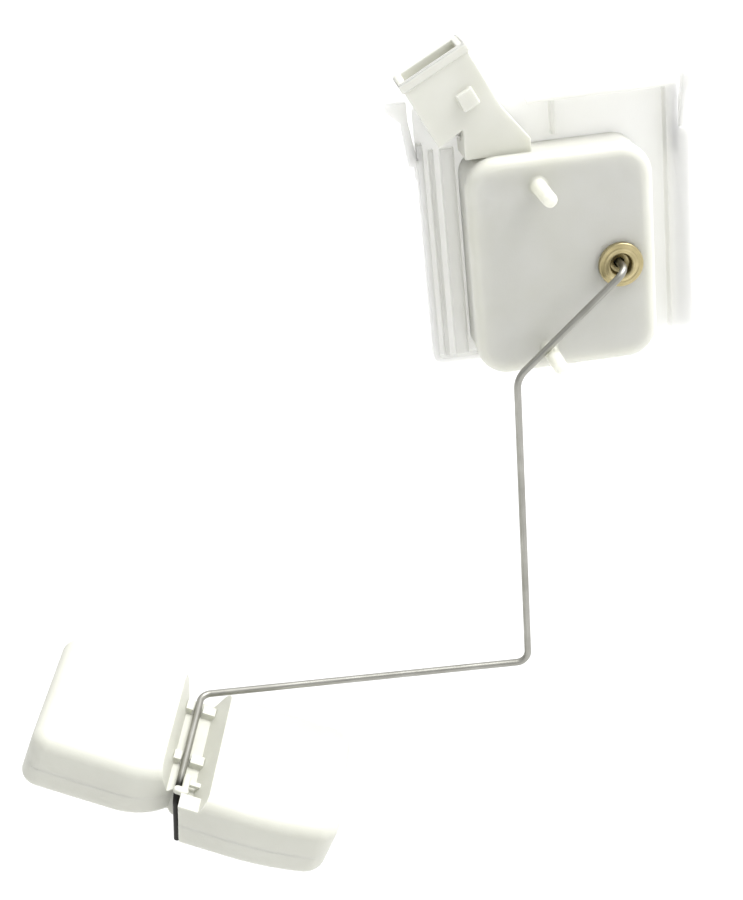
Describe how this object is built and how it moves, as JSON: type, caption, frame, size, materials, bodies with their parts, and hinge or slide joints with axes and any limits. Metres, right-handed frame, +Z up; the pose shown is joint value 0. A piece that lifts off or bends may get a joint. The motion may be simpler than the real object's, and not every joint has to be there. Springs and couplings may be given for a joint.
{
  "type": "fuel tank level sender",
  "caption": "Level sender: moulded carrier plate with a closed sensor housing, angled connector, brass pivot bush and a bent wire arm that carries a white float.",
  "frame": {"origin": "centre of the carrier plate's flat back face", "axes": "+Y out of the back face (away from the cover), +Z up along the plate with the arm hanging down at rest, +X towards the plate's right edge as seen from the cover's side"},
  "size_m": [0.1864, 0.0695, 0.187],
  "materials": {
    "acetal": "natural moulded acetal, faintly translucent, satin",
    "float_plastic": "white moulded plastic, satin",
    "brass": "turned",
    "tinned_blade": "tin plated",
    "steel_wire": "drawn wire, slightly oiled",
    "bronze_spring": "rolled strip",
    "ceramic": "fired alumina, matt",
    "resistor_ink": "fired thick film",
    "silver_ink": "fired silver film"
  },
  "bodies": {
    "sender_body": {"carrier_plate": "acetal", "housing_base": "acetal", "housing_cover": "acetal", "connector_shroud": "acetal", "pivot_bush": "brass", "rear_bearing": "brass", "resistor_card": "ceramic", "resistor_track": "resistor_ink", "contact_track": "silver_ink", "terminal_signal": "tinned_blade", "terminal_ground": "tinned_blade", "card_rivet_signal": "brass", "card_rivet_ground": "brass"},
    "arm": {"float_arm": "steel_wire", "rotor": "acetal", "wiper_spring": "bronze_spring", "wiper_contact_outer": "brass", "wiper_contact_inner": "brass", "thrust_washer": "steel_wire", "arm_retainer": "steel_wire"},
    "float": {"float_upper": "float_plastic", "float_lower": "float_plastic"}
  },
  "joints": [
    {"name": "arm_pivot", "type": "hinge", "parent": "sender_body", "child": "arm", "pos_m": [0.0115, -0.016, -0.0075], "axis": [0, 1, 0], "range_deg": [0, 83.5]},
    {"name": "float_swivel", "type": "hinge", "parent": "arm", "child": "float", "pos_m": [-0.1048, -0.025, -0.1073], "axis": [-0.2189, -0.9637, -0.153], "range_deg": [0, 24]}
  ]
}
